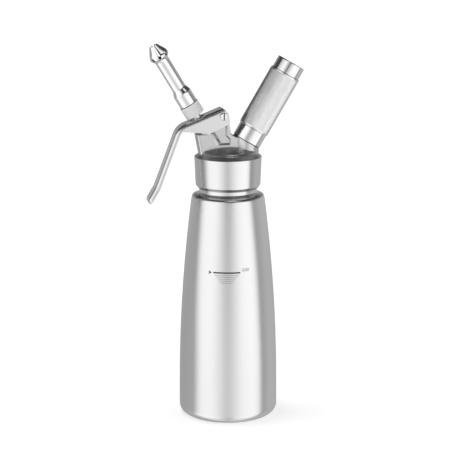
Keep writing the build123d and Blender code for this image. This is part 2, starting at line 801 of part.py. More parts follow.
with BuildPart() as lever:
    # Blank: shallow along the handle, with deep cheeks beside the casting
    with BuildSketch(lever_side):
        with BuildLine():
            FilletPolyline(plate_end, bend_corner, kick_corner, handle_end, radius=lever_bends)
            offset(amount=handle_depth, side=Side.LEFT)
        make_face()
        outline(
            plate_end,
            step(plate_end, plate_length - bend_radius / 2, plate_angle),
            (cheek_back_x, -cheek_back),
            (cheek_low_x, -cheek_low),
            (cheek_front, -cheek_drop),
            (cheek_front - cheek_lean, cheek_drop / 2),
        )
        round_corner((cheek_low_x, -cheek_low), cheek_low_round)
        round_corner((cheek_front, -cheek_drop), cheek_round)
        round_corner((cheek_front - cheek_lean, cheek_drop / 2), cheek_round)
    extrude(amount=lever_half_width, both=True)
    bend_over(lever, 0, lever_half_width, handle_end_round, edge_round)
    add(lever_core.part, mode=Mode.SUBTRACT)
    # Rounded lower corner of the flange at the handle's end
    with BuildSketch(lever_side):
        flange_corner = step(handle_end, handle_depth, kick_angle + 90)
        up_the_handle = step(flange_corner, flange_end_round, kick_angle + 180)
        up_the_end = step(flange_corner, flange_end_round, kick_angle - 90)
        round_centre = step(up_the_handle, flange_end_round, kick_angle - 90)
        outline(flange_corner, up_the_handle, round_centre, up_the_end)
        with Locations(round_centre):
            Circle(flange_end_round, mode=Mode.SUBTRACT)
    extrude(amount=lever_half_width, both=True, mode=Mode.SUBTRACT)
    # Slot for the valve spindle and holes for the pin
    with BuildSketch(spindle_slot_plane):
        SlotOverall(spindle_slot_length, spindle_slot_width)
    extrude(amount=2 * lever_sheet, both=True, mode=Mode.SUBTRACT)
    with BuildSketch(lever_side):
        Circle(lever_pin_radius + running_gap)
    extrude(amount=lever_half_width, both=True, mode=Mode.SUBTRACT)
finish(lever, "lever")

# ---- Lever pin: pressed through the lug, with a slotted head, held by a clip at the back
pin_shoulder = lever_half_width + seam_gap
with BuildPart() as lever_pin:
    with BuildSketch(lever_side.offset(pin_shoulder + lever_pin_head_height)):
        Circle(lever_pin_head_radius)
    extrude(amount=-lever_pin_head_height)
    chamfer(lever_pin.edges().sort_by(Axis.Y)[0], lever_pin_slot_depth / 2)
    with BuildSketch(lever_side.offset(pin_shoulder + lever_pin_head_height)):
        Rectangle(lever_pin_slot, 3 * lever_pin_head_radius)
    extrude(amount=-lever_pin_slot_depth, mode=Mode.SUBTRACT)
    with BuildSketch(lever_side.offset(pin_shoulder)):
        Circle(lever_pin_radius)
    extrude(amount=-(2 * pin_shoulder + lever_pin_end))
    with BuildSketch(lever_side.offset(-pin_shoulder)):
        Circle(lever_pin_radius)
        Circle(lever_pin_radius - clip_groove_depth, mode=Mode.SUBTRACT)
    extrude(amount=-clip_height, mode=Mode.SUBTRACT)
finish(lever_pin, "lever_pin")

# ---- Pin clip: open spring ring in the pin's groove
with BuildPart() as pin_clip:
    with BuildSketch(lever_side.offset(-pin_shoulder)):
        Circle(clip_radius)
        Circle(lever_pin_radius - clip_groove_depth, mode=Mode.SUBTRACT)
        with Locations((0, -clip_radius)):
            Rectangle(2 * (lever_pin_radius - clip_groove_depth), 2 * clip_radius, mode=Mode.SUBTRACT)
    extrude(amount=-clip_height)
finish(pin_clip, "pin_clip")
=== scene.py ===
"""Whipped cream dispenser: looks, fine forms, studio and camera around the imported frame. Metres."""

import json
from math import cos, pi, radians, sin

import bmesh
import bpy
from mathutils import Matrix, Vector
from mathutils.bvhtree import BVHTree


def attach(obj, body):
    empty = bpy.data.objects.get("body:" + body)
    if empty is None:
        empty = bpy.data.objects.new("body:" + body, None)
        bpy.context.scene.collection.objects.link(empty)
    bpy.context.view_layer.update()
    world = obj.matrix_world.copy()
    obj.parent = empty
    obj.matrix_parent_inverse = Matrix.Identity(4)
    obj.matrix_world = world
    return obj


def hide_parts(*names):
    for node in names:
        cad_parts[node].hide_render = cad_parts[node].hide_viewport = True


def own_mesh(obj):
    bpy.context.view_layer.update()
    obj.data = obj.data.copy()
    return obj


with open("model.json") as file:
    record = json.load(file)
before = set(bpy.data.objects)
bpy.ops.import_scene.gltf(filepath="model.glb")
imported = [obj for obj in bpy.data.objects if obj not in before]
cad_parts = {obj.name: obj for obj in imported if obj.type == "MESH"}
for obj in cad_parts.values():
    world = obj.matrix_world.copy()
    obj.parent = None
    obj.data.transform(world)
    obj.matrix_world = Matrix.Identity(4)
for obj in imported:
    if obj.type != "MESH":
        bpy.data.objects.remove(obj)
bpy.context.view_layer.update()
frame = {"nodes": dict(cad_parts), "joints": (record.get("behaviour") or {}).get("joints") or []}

MM = 0.001
UP = Vector((0, 0, 1))
ACROSS = Vector((0, 1, 0))
ORIGIN = Vector((0, 0, 0))
SQUARE = ((-1, -1), (1, -1), (1, 1), (-1, 1))

# ---- Camera, as a real lens on a tripod
camera_place = Vector((-0.2518, -1.4280, 0.4800))
camera_tilt = 77.57
camera_turn = -10.0
lens_mm = 142.0
sensor_mm = 36.0
frame_shift = -0.0044
view_reach = 100.0

# ---- Fine forms
neck_thread_pitch = 4.0 * MM
neck_thread_depth = 0.45 * MM
fine_thread_depth = 0.40 * MM
stub_thread_pitch = 1.5 * MM
adapter_thread_pitch = 1.25 * MM
thread_room = 0.6 * MM          # radial gap between the two cores of a thread
thread_half_height = 0.25       # as a share of the pitch
thread_steps, thread_sides = 48, 4
neck_core, stub_core, adapter_core = 22.8 * MM, 9.6 * MM, 5.4 * MM
neck_thread_span = (198.0 * MM, 212.0 * MM)
stub_thread_span = (1.2 * MM, 11.4 * MM)        # from the foot of the holder
adapter_thread_span = (1.3 * MM, 8.2 * MM)      # from the foot of the nozzle
knurls_around = 72
knurl_row = 0.90 * MM
knurl_depth = 0.11 * MM
knurl_flat = 0.40               # share of a diamond's width left flat on top
knurl_margin = 1.1 * MM         # plain edge at the sleeve's two ends
sleeve_edge = 0.5 * MM
ring_steps = 128
spring_wire = 0.5 * MM          # half the wire's thickness
spring_turns = 4.5
spring_steps, spring_sides = 40, 10

# ---- Finishes
rim_height, dome_top = 219.7 * MM, 228.8 * MM
shoulder_height, lip_height = 183.0 * MM, 189.0 * MM
seam_shade_width = 0.7 * MM           # painted shade along the edge where two parts are screwed face to face
nozzle_seam, holder_seam = 0.15 * MM, 0.15 * MM  # feet of nozzle and holder, along their axes
slot_depth, slot_edge = 1.0 * MM, 0.8 * MM      # painted shade deep in the slot of the pin's head
edge_blur = 0.4 * MM            # width over which one finish gives way to another
darkest, lightest = 0.965, 1.03                 # of a steel, as shares of its tone
streak_share, handling_share = 0.8, 0.2         # of the change in a steel's tone
handling_scale, cast_cloud_scale, cloud_scale = 38.0, 160.0, 55.0
# Painted shade: tones of steel near a seam or in a slot, and in a bore
seam_shade_tone, bore_shade_tone = 0.03, 0.10
seam_shade_rough, bore_rough = 0.3, 0.35              # added to a steel's own roughness
inward_full, inward_none = -0.45, -0.25         # outward share of a face in a bore, and on the outside

# ---- Fill mark on the bottle's front
fill_height = 129.0 * MM
mark_middle = -11.6             # degrees round the bottle from the front
mark_width = 22.4 * MM
mark_thick = 1.15 * MM
mark_relief = 0.04 * MM
scale_drops = (2.0, 3.5, 5.1, 6.7, 8.3)   # mm below the fill line
scale_shares = (0.91, 0.81, 0.66, 0.56, 0.45)
scale_thick = 0.32 * MM
figure_text = "600"             # millilitres that the bottle holds up to the line
figure_height = 2.8 * MM
figure_rise = 2.2 * MM          # middle of the figure above the fill line
figure_gap = 1.7 * MM
capital_share = 0.7             # a figure's height as a share of its font's size
pointer_length, pointer_half = 3.0 * MM, 1.6 * MM
pointer_gap = 0.6               # as a share of the figure's gap
pointer_ends = (1.0, 0.05)      # base and blunt tip, as shares of its size
bar_steps = 24

# ---- Studio. What the metal mirrors is a round wall with a domed lid, white, grey and dark by
# turns. Angles are from the camera's direction, positive to the right, and heights in metres.
# Each row: height, reach, left edge and right edge of the bright front, then the strength in front
# on the left, in front on the right, in the front's middle, at the left, at the right and behind.
wall_rows = (
    (-1.62, 0.02, -83, 82, 0.70, 0.70, 1.00, 0.50, 0.50, 0.50),
    (-1.60, 1.10, -90, 82, 0.85, 0.85, 1.00, 0.45, 0.45, 0.45),
    (-1.50, 1.70, -95, 84, 1.00, 1.00, 1.00, 0.48, 0.44, 0.45),
    (-0.90, 1.70, -92, 84, 1.00, 1.00, 1.00, 0.46, 0.42, 0.44),
    (-0.50, 1.70, -80, 84, 0.93, 0.93, 1.22, 0.41, 0.42, 0.43),
    (-0.33, 1.70, -78, 84, 1.00, 1.00, 1.12, 0.40, 0.42, 0.43),
    (-0.23, 1.70, -83, 80, 1.00, 1.00, 1.05, 0.40, 0.40, 0.45),
    (-0.10, 1.70, -85, 82, 1.00, 1.00, 1.00, 0.38, 0.40, 0.48),
    (0.05, 1.70, -86, 78, 1.00, 1.00, 0.95, 0.38, 0.40, 0.60),
    (0.15, 1.70, -88, 77, 1.00, 1.00, 0.88, 0.36, 0.40, 0.60),
    (0.40, 1.70, -92, 74, 1.00, 1.00, 0.82, 0.26, 0.40, 0.45),
    (0.52, 1.70, -90, 76, 1.00, 1.00, 0.26, 0.18, 0.36, 0.45),
    (0.75, 1.70, -88, 77, 1.00, 1.00, 0.45, 0.11, 0.34, 0.42),
    (1.00, 1.70, -86, 77, 1.00, 0.35, 0.30, 0.08, 0.26, 0.08),
    (1.25, 1.70, -84, 76, 0.70, 0.12, 0.40, 0.06, 0.14, 0.05),
    (1.48, 1.60, -80, 74, 0.12, 0.05, 1.00, 0.04, 0.08, 0.04),
    (1.70, 1.10, -80, 74, 0.04, 0.04, 1.00, 0.03, 0.05, 0.04),
    (1.80, 0.02, -80, 74, 0.05, 0.05, 1.00, 0.05, 0.05, 0.05),
)
# Across the front: angle, share of the front's strength, weight of the middle's own strength
front_glow = (
    (-38, 1.20, 0), (-29, 1.08, 0), (-20, 0.95, 0.2), (-10, 0.76, 0.6), (-2, 0.61, 1),
    (8, 0.74, 0.8), (18, 0.93, 0.2), (27, 1.08, 0), (37, 1.18, 0),
)
# At the front's two edges: angle from the edge, share of the strength on that side of it
far_left = -45
dark_left, bright_left = ((-18, 1.1), (-6, 0.85)), ((3, 0.85), (10, 1.10), (20, 1.20))
bright_right, dark_right = ((-22, 1.26), (-9, 1.20), (-4, 1.02)), ((4, 0.74), (14, 1.05), (30, 1.3))
lamps = (       # name, angle, reach, height, size, power
    ("high_lamp", -112, 0.26, 2.4, 0.45, 11.0),
    ("low_lamp", 40, 1.6, 0.9, 1.0, 2.0),
)
lamp_aim = Vector((0, 0, 0.16))
crown_card_place, crown_card_size, crown_run = (0.040, -0.167, 0.590), (0.22, 0.15), 51.0 * MM
room_light = 0.55
floor_tone, floor_reach = 0.86, 30.0
floor_lift_near, floor_lift_far = 0.44, 0.58
floor_lift_start, floor_lift_end = 0.25, 1.60
matt_black = {"Base_Color": (0, 0, 0), "Specular_IOR_Level": 0.0, "Roughness": 1.0}


def joint(name):
    """The joint of that name in the frame."""
    return next(j for j in frame["joints"] if j["name"] == name)


valve_axis = Vector(joint("nozzle_turn")["axis"]).normalized()
valve_point = Vector(joint("nozzle_turn")["pos_m"])
holder_axis = Vector(joint("holder_turn")["axis"]).normalized()
holder_point = Vector(joint("holder_turn")["pos_m"])
press_travel = -joint("valve_press")["range_m"][0]


def span(node, point, axis):
    """Where a CAD node lies along an axis: its low end, its high end and its outer radius."""
    runs, radii = [], []
    for vertex in frame["nodes"][node].data.vertices:
        run = (vertex.co - point).dot(axis)
        runs.append(run)
        radii.append((vertex.co - point - axis * run).length)
    return min(runs), max(runs), max(radii)


def seat(point, axis, run):
    """Matrix that stands a piece built along +Z on an axis, at a distance along it."""
    turn = UP.rotation_difference(axis).to_matrix().to_4x4()
    return Matrix.Translation(point + axis * run) @ turn


# ======================================================================
# Shader maths
# ======================================================================
class Value:
    """A number socket of a shader, on which the usual operators add Math nodes."""

    def __init__(self, shades, socket):
        self.shades, self.socket = shades, socket

    def combine(self, operation, first, second):
        return self.shades.node("ShaderNodeMath", {"operation": operation}, {0: first, 1: second})

    def __add__(self, other):
        return self.combine("ADD", self, other)

    def __sub__(self, other):
        return self.combine("SUBTRACT", self, other)

    def __rsub__(self, other):
        return self.combine("SUBTRACT", other, self)

    def __mul__(self, other):
        return self.combine("MULTIPLY", self, other)

    def __or__(self, other):
        return self.combine("MAXIMUM", self, other)

    __radd__ = __add__
    __rmul__ = __mul__

    def rise(self, low, high):
        """0 up to one value and 1 from another on."""
        return self.shades.node("ShaderNodeMapRange", {}, {"Value": self, "From Min": low, "From Max": high})


class Shades:
    """A shader tree whose nodes are added one by one."""

    def __init__(self, tree):
        self.tree = tree
        tree.nodes.clear()

    def put(self, socket, value):
        if isinstance(value, Value):
            self.tree.links.new(value.socket, socket)
        elif isinstance(value, (tuple, list, Vector)) and len(socket.default_value) == 4:
            socket.default_value = (*value[:3], 1.0)
        else:
            socket.default_value = value

    def node(self, kind, settings, sockets, output=0):
        """Any node: its settings first, then the values or links of its sockets."""
        made = self.tree.nodes.new(kind)
        for name, value in settings.items():
            setattr(made, name, value)
        for name, value in sockets.items():
            self.put(made.inputs[name], value)
        if made.outputs:
            return Value(self, made.outputs[output])


class Finish(Shades):
    """A material on a single Principled shader, laid out on Object coordinates."""

    def __init__(self, name, **constants):
        self.material = bpy.data.materials.new(name)
        self.material.use_nodes = True
        super().__init__(self.material.node_tree)
        surface = self.node("ShaderNodeBsdfPrincipled", {}, {})
        self.shader = surface.socket.node
        self.node("ShaderNodeOutputMaterial", {}, {"Surface": surface})
        for label, value in constants.items():
            self.put(self.shader.inputs[label.replace("_", " ")], value)
        self.place = self.node("ShaderNodeTexCoord", {}, {}, "Object")
        self.facing = self.node("ShaderNodeTexCoord", {}, {}, "Normal")

    def vary(self, label, value):
        self.put(self.shader.inputs[label], value)

    def noise(self, vector, scale, detail, roughness):
        sockets = {"Vector": vector, "Scale": scale, "Detail": detail, "Roughness": roughness}
        return self.node("ShaderNodeTexNoise", {}, sockets, "Fac")

    def mix(self, share, low, high):
        return self.node("ShaderNodeMix", {"data_type": "RGBA"}, {0: share, 6: low, 7: high}, 2)

    def bump(self, height, strength, distance):
        sockets = {"Height": height, "Strength": strength, "Distance": distance}
        self.vary("Normal", self.node("ShaderNodeBump", {}, sockets))

    def vectors(self, operation, *inputs, output="Vector"):
        return self.node("ShaderNodeVectorMath", {"operation": operation}, dict(enumerate(inputs)), output)

    def scaled(self, vector, factor):
        return self.node("ShaderNodeVectorMath", {"operation": "SCALE"}, {0: vector, "Scale": factor})

    def dot(self, first, second):
        return self.vectors("DOT_PRODUCT", first, second, output="Value")

    def from_point(self, point):
        return self.vectors("SUBTRACT", self.place, point)

    def run(self, point, axis):
        """Distance along an axis from a point on it."""
        return self.dot(self.from_point(point), axis)

    def inside(self, point, axis):
        """1 where a hollow piece faces its own axis."""
        along = self.scaled(axis, self.run(point, axis))
        out = self.vectors("NORMALIZE", self.vectors("SUBTRACT", self.from_point(point), along))
        return 1 - self.dot(self.facing, out).rise(inward_full, inward_none)

    def grain(self, axis, fine, coarse):
        """Coordinates that change fast along an axis and slowly across it, so streaks lie across it."""
        along = self.scaled(axis, self.dot(self.place, axis) * fine)
        return self.vectors("ADD", along, self.scaled(self.place, coarse))


def steel(name, axis, tone, rough, spread, fine=2600.0, coarse=9.0, relief=0.05,
          seam=None, bore=None, cast=None, dull_and_shaded=None):
    """Brushed or turned steel whose fine marks lie across an axis, with faint handling marks.

    It may carry painted shade near a seam or deep in a slot (point, axis, run, width) and painted
    shade in its bore (point, axis), be as cast above a height (height, tone, roughness), and carry
    painted shade with a roughness of its own between two heights on faces that look up by more
    than a share (low, high, share, tone, roughness)."""
    finish = Finish(name, Metallic=1.0)
    streak = finish.noise(finish.grain(axis, fine, coarse), 1.0, 3.0, 0.65)
    handling = finish.noise(finish.place, handling_scale, 3.0, 0.6)
    roughness = rough + (streak - 0.5) * spread + (handling - 0.5) * (spread * 0.3)
    dark, light = (tone * darkest,) * 3, (min(tone * lightest, 1.0),) * 3
    colour = finish.mix(streak * streak_share + handling * handling_share, dark, light)
    if cast:
        height, cast_tone, cast_rough = cast
        raw = finish.run(ORIGIN, UP).rise(height, height + edge_blur)
        cloud = finish.noise(finish.place, cast_cloud_scale, 3.0, 0.6)
        colour = finish.mix(raw, colour, finish.mix(cloud, (cast_tone * 0.9,) * 3, (cast_tone * 1.1,) * 3))
        roughness = roughness + raw * (cast_rough - rough)
    # Painted shade: a darker tone, with a roughness of its own, on faces that look up between two heights
    if dull_and_shaded:
        low, high, share, top_shade_tone, dull_rough = dull_and_shaded
        level = finish.run(ORIGIN, UP)
        between = level.rise(low, low + edge_blur) * (1 - level.rise(high, high + edge_blur))
        matt_and_shaded = between * finish.dot(finish.facing, UP).rise(share, share + 0.2)
        colour = finish.mix(matt_and_shaded, colour, (top_shade_tone,) * 3)
        roughness = roughness * (1 - matt_and_shaded) + matt_and_shaded * dull_rough
    # Painted shade: near-black and rougher within a width of a seam or deep in a slot
    if seam:
        point, seam_axis, run, width = seam
        seam_shade = 1 - finish.run(point, seam_axis).rise(run + width * 0.6, run + width)
        colour = finish.mix(seam_shade, colour, (seam_shade_tone,) * 3)
        roughness = roughness + seam_shade * seam_shade_rough
    # Painted shade: near-black and rougher on faces inside the bore
    if bore:
        hollow = finish.inside(*bore)
        colour = finish.mix(hollow, colour, (bore_shade_tone,) * 3)
        roughness = roughness + hollow * bore_rough
    finish.vary("Roughness", roughness)
    finish.vary("Base Color", colour)
    finish.bump(streak, relief, 0.00002)
    return finish.material


def plain(name, colour, rough, grain_scale=900.0, relief=0.15, metallic=0.0, change=0.06):
    """Even finish with a fine grain: blasted metal, rubber, silicone or enamel."""
    finish = Finish(name, Metallic=metallic)
    grain = finish.noise(finish.place, grain_scale, 3.0, 0.6)
    cloud = finish.noise(finish.place, cloud_scale, 2.0, 0.5)
    low = tuple(c * (1 - change) for c in colour)
    high = tuple(min(c * (1 + change), 1.0) for c in colour)
    finish.vary("Base Color", finish.mix(grain * 0.5 + cloud * 0.5, low, high))
    finish.vary("Roughness", rough + (cloud - 0.5) * 0.1)
    finish.bump(grain, relief, 0.00003)
    return finish.material


# Painted shade on the faces of the bottle's shoulder that look up, between shoulder and lip
bottle_steel = steel("brushed bottle steel", UP, 0.80, 0.25, 0.08, relief=0.03,
                     dull_and_shaded=(shoulder_height, lip_height, 0.65, 0.45, 0.25))
turned_steel = steel("turned steel", UP, 0.80, 0.20, 0.10)
# Painted shade on the dome's faces that look up, between the rim and the dome's top, with a roughness of
# their own
cast_steel = steel("polished cast steel", UP, 0.78, 0.19, 0.08, relief=0.03, cast=(rim_height, 0.63, 0.27),
                   dull_and_shaded=(rim_height, dome_top, 0.15, 0.54, 0.32))
lever_steel = steel("brushed lever steel", ACROSS, 0.78, 0.27, 0.14, relief=0.06)
valve_steel = steel("turned valve steel", valve_axis, 0.72, 0.20, 0.10)
# Painted shade at the nozzle's foot, where it meets the adapter, and inside its bore
nozzle_steel = steel("polished nozzle steel", valve_axis, 0.86, 0.10, 0.06, relief=0.02,
                     seam=(valve_point, valve_axis, nozzle_seam, seam_shade_width), bore=(valve_point, valve_axis))
# Painted shade at the holder's foot, where it meets the casting's boss
holder_steel = steel("polished holder steel", holder_axis, 0.84, 0.08, 0.05, relief=0.02,
                     seam=(holder_point, holder_axis, holder_seam, seam_shade_width))
sleeve_top = span("knurled_sleeve", holder_point, holder_axis)[1]
# Painted shadow along the sleeve's top edge, under the cap
knurl_steel = steel("knurled steel", holder_axis, 0.90, 0.20, 0.08, fine=900.0,
                    seam=(holder_point + holder_axis * sleeve_top, -holder_axis, 0.0, sleeve_edge))
charger_steel = steel("plated charger steel", holder_axis, 0.62, 0.28, 0.10)
wire_steel = steel("drawn spring wire", valve_axis, 0.58, 0.25, 0.08, fine=500.0)
pin_steel = steel("bright pin steel", ACROSS, 0.88, 0.13, 0.06, relief=0.02)
pin_face = min(vertex.co.y for vertex in frame["nodes"]["lever_pin"].data.vertices)
# Painted shade deep in the pin head's slot and on the head's side next to the cheek
pin_head_steel = steel("slotted pin steel", ACROSS, 0.88, 0.13, 0.06, relief=0.02,
                       seam=(ACROSS * (pin_face + slot_depth), -ACROSS, 0.0, slot_edge))
blasted_alloy = plain("blasted alloy", (0.93, 0.93, 0.93), 0.62, 1500.0, 0.20, metallic=0.35)
white_silicone = plain("white silicone", (0.82, 0.82, 0.80), 0.48)
black_rubber = plain("black rubber", (0.030, 0.030, 0.031), 0.55)
etched_black = plain("etched black", (0.020, 0.020, 0.021), 0.50)
etched_grey = plain("etched grey", (0.27, 0.27, 0.27), 0.50)

finish_of = {
    "bottle_body": bottle_steel,
    "neck_ring": turned_steel,
    "head_gasket": white_silicone,
    "head_casting": cast_steel,
    "lever_pin": pin_head_steel,
    "pin_clip": wire_steel,
    "check_valve": black_rubber,
    "pin_carrier": holder_steel,
    "piercing_pin": pin_steel,
    "charger_seal": black_rubber,
    "valve_spring": wire_steel,
    "lever": lever_steel,
    "valve_spindle": valve_steel,
    "valve_seal": black_rubber,
    "seal_screw": pin_steel,
    "spindle_oring_inner": black_rubber,
    "spindle_oring_outer": black_rubber,
    # The thrust washer takes the darker spring-wire finish as painted shade under the adapter
    "thrust_washer": wire_steel,
    "nozzle_adapter": blasted_alloy,
    "nozzle_ring": white_silicone,
    "decorating_nozzle": nozzle_steel,
    "gas_charger": charger_steel,
    "holder_tube": holder_steel,
    "knurled_sleeve": knurl_steel,
    "holder_cap": holder_steel,
}
for node_name, material in finish_of.items():
    node_object = frame["nodes"][node_name]
    node_object.data.materials.clear()
    node_object.data.materials.append(material)


# ======================================================================
# Fine forms made by geometry nodes
# ======================================================================
class Recipe:
    """A geometry node tree with named inputs, used once per piece and then turned into a plain mesh."""

    def __init__(self, name, inputs):
        self.tree = bpy.data.node_groups.new(name, "GeometryNodeTree")
        self.sockets = {}
        for label, kind in inputs.items():
            item = self.tree.interface.new_socket(label, in_out="INPUT", socket_type="NodeSocket" + kind)
            self.sockets[label] = item.identifier
        self.tree.interface.new_socket("Geometry", in_out="OUTPUT", socket_type="NodeSocketGeometry")
        self.given = self.tree.nodes.new("NodeGroupInput")

    def given_by(self, label):
        return self.given.outputs[label]

    def node(self, kind, settings, sockets, output=0):
        """Any geometry node: its settings first, then the values or links of its sockets."""
        made = self.tree.nodes.new(kind)
        for name, value in settings.items():
            setattr(made, name, value)
        for name, value in sockets.items():
            if isinstance(value, bpy.types.NodeSocket):
                self.tree.links.new(value, made.inputs[name])
            else:
                made.inputs[name].default_value = value
        return made.outputs[output]

    def maths(self, operation, first, second=0.0):
        return self.node("ShaderNodeMath", {"operation": operation}, {0: first, 1: second})

    def end(self, geometry, material):
        real = self.node("GeometryNodeRealizeInstances", {}, {0: geometry})
        dressed = self.node("GeometryNodeSetMaterial", {}, {"Geometry": real, "Material": material})
        out = self.tree.nodes.new("NodeGroupOutput")
        self.tree.links.new(dressed, out.inputs[0])

    def make(self, name, place, **values):
        """Runs the tree with these inputs and returns the result as a mesh piece at its place."""
        carrier = bpy.data.objects.new(name, bpy.data.meshes.new(name))
        bpy.context.scene.collection.objects.link(carrier)
        modifier = carrier.modifiers.new("recipe", "NODES")
        modifier.node_group = self.tree
        for label, value in values.items():
            modifier[self.sockets[label.replace("_", " ")]] = value
        carrier.update_tag()
        evaluated = carrier.evaluated_get(bpy.context.evaluated_depsgraph_get())
        mesh = bpy.data.meshes.new_from_object(evaluated)
        carrier.modifiers.remove(modifier)
        mesh.transform(place)
        mesh.name = name
        carrier.data = mesh
        return carrier


def smooth(piece):
    for polygon in piece.data.polygons:
        polygon.use_smooth = True


def outward(piece):
    """Points every face of a closed piece outwards."""
    work = bmesh.new()
    work.from_mesh(piece.data)
    bmesh.ops.remove_doubles(work, verts=work.verts, dist=1e-7)
    bmesh.ops.recalc_face_normals(work, faces=work.faces)
    work.to_mesh(piece.data)
    work.free()
    return piece


# A rod of any even section wound on a helix: the spring and the screw threads
wound_rod = Recipe(
    "wound rod",
    {
        "Turns": "Float",
        "Radius": "Float",
        "Rise": "Float",
        "Steps": "Int",
        "Half depth": "Float",
        "Half height": "Float",
        "Sides": "Int",
        "Material": "Material",
    },
)
rod_line = wound_rod.node(
    "GeometryNodeCurveSpiral",
    {},
    {
        "Resolution": wound_rod.given_by("Steps"),
        "Rotations": wound_rod.given_by("Turns"),
        "Start Radius": wound_rod.given_by("Radius"),
        "End Radius": wound_rod.given_by("Radius"),
        "Height": wound_rod.given_by("Rise"),
        "Reverse": True,        # right-handed
    },
)
rod_line = wound_rod.node("GeometryNodeSetCurveNormal", {"mode": "Z_UP"}, {"Curve": rod_line})
rod_section = wound_rod.node(
    "GeometryNodeCurvePrimitiveCircle",
    {"mode": "RADIUS"},
    {"Resolution": wound_rod.given_by("Sides"), "Radius": 1.0},
)
rod_size = wound_rod.node(
    "ShaderNodeCombineXYZ",
    {},
    {"X": wound_rod.given_by("Half depth"), "Y": wound_rod.given_by("Half height"), "Z": 1.0},
)
rod_section = wound_rod.node("GeometryNodeTransform", {}, {"Geometry": rod_section, "Scale": rod_size})
rod_skin = wound_rod.node(
    "GeometryNodeCurveToMesh", {}, {"Curve": rod_line, "Profile Curve": rod_section, "Fill Caps": True}
)
wound_rod.end(rod_skin, wound_rod.given_by("Material"))

# Rows of pointed diamonds that tile a cylinder: the knurl
diamond_knurl = Recipe(
    "diamond knurl",
    {
        "Around": "Int",
        "Rows": "Int",
        "Radius": "Float",
        "Row": "Float",
        "Depth": "Float",
        "Half width": "Float",
        "Flat": "Float",
        "Material": "Material",
    },
)
knurl_count = diamond_knurl.maths(
    "MULTIPLY", diamond_knurl.given_by("Around"), diamond_knurl.given_by("Rows")
)
knurl_points = diamond_knurl.node("GeometryNodePoints", {}, {"Count": knurl_count})
knurl_index = diamond_knurl.node("GeometryNodeInputIndex", {}, {})
knurl_line = diamond_knurl.maths(
    "FLOOR", diamond_knurl.maths("DIVIDE", knurl_index, diamond_knurl.given_by("Around"))
)
half_step = diamond_knurl.maths("MULTIPLY", diamond_knurl.maths("MODULO", knurl_line, 2.0), 0.5)
knurl_turn = diamond_knurl.maths(
    "MULTIPLY",
    diamond_knurl.maths(
        "DIVIDE", diamond_knurl.maths("ADD", knurl_index, half_step), diamond_knurl.given_by("Around")
    ),
    2 * pi,
)
knurl_out = diamond_knurl.node(
    "ShaderNodeCombineXYZ",
    {},
    {"X": diamond_knurl.maths("COSINE", knurl_turn), "Y": diamond_knurl.maths("SINE", knurl_turn), "Z": 0.0},
)
knurl_rise = diamond_knurl.node(
    "ShaderNodeCombineXYZ",
    {},
    {"X": 0.0, "Y": 0.0, "Z": diamond_knurl.maths("MULTIPLY", knurl_line, diamond_knurl.given_by("Row"))},
)
knurl_side = diamond_knurl.node(
    "ShaderNodeVectorMath", {"operation": "SCALE"}, {0: knurl_out, "Scale": diamond_knurl.given_by("Radius")}
)
knurl_place = diamond_knurl.node("ShaderNodeVectorMath", {"operation": "ADD"}, {0: knurl_side, 1: knurl_rise})
knurl_points = diamond_knurl.node(
    "GeometryNodeSetPosition", {}, {"Geometry": knurl_points, "Position": knurl_place}
)
knurl_facing = diamond_knurl.node("FunctionNodeAlignRotationToVector", {"axis": "Z"}, {"Vector": knurl_out})
knurl_facing = diamond_knurl.node(
    "FunctionNodeAlignRotationToVector",
    {"axis": "X", "pivot_axis": "Z"},
    {"Rotation": knurl_facing, "Vector": (0.0, 0.0, 1.0)},
)
diamond = diamond_knurl.node(
    "GeometryNodeMeshCone",
    {"fill_type": "TRIANGLE_FAN"},
    {"Vertices": 4, "Radius Top": diamond_knurl.given_by("Flat"), "Radius Bottom": 1.0, "Depth": 1.0},
)
diamond_size = diamond_knurl.node(
    "ShaderNodeCombineXYZ",
    {},
    {
        "X": diamond_knurl.given_by("Row"),
        "Y": diamond_knurl.given_by("Half width"),
        "Z": diamond_knurl.given_by("Depth"),
    },
)
diamonds = diamond_knurl.node(
    "GeometryNodeInstanceOnPoints",
    {},
    {"Points": knurl_points, "Instance": diamond, "Rotation": knurl_facing, "Scale": diamond_size},
)
diamond_knurl.end(diamonds, diamond_knurl.given_by("Material"))


# ======================================================================
# Pieces
# ======================================================================
def thread(name, body, slot, material, point, axis, low, high, radius, pitch, depth, phase=0.0):
    """Ridge of a screw thread at a radius, right-handed, between two ends along an axis."""
    turns = (high - low) / pitch
    place = seat(point, axis, low) @ Matrix.Rotation(radians(phase), 4, "Z")
    piece = wound_rod.make(
        name,
        place,
        Turns=turns,
        Radius=radius,
        Rise=high - low,
        Steps=thread_steps,
        Half_depth=depth,
        Half_height=pitch * thread_half_height,
        Sides=thread_sides,
        Material=material,
    )
    outward(piece)
    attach(piece, body)


def ring_mesh(name, material, place, profile):
    """Closed ring from a half section of (radius, run) points, on an axis."""
    mesh = bpy.data.meshes.new(name)
    points, faces, count = [], [], len(profile)
    for step in range(ring_steps):
        turn = 2 * pi * step / ring_steps
        points += [(radius * cos(turn), radius * sin(turn), run) for radius, run in profile]
        after = (step + 1) % ring_steps
        for corner in range(count):
            other = (corner + 1) % count
            faces.append(
                (step * count + corner, after * count + corner, after * count + other, step * count + other)
            )
    mesh.from_pydata(points, [], faces)
    mesh.transform(place)
    mesh.materials.append(material)
    piece = bpy.data.objects.new(name, mesh)
    bpy.context.scene.collection.objects.link(piece)
    return outward(piece)


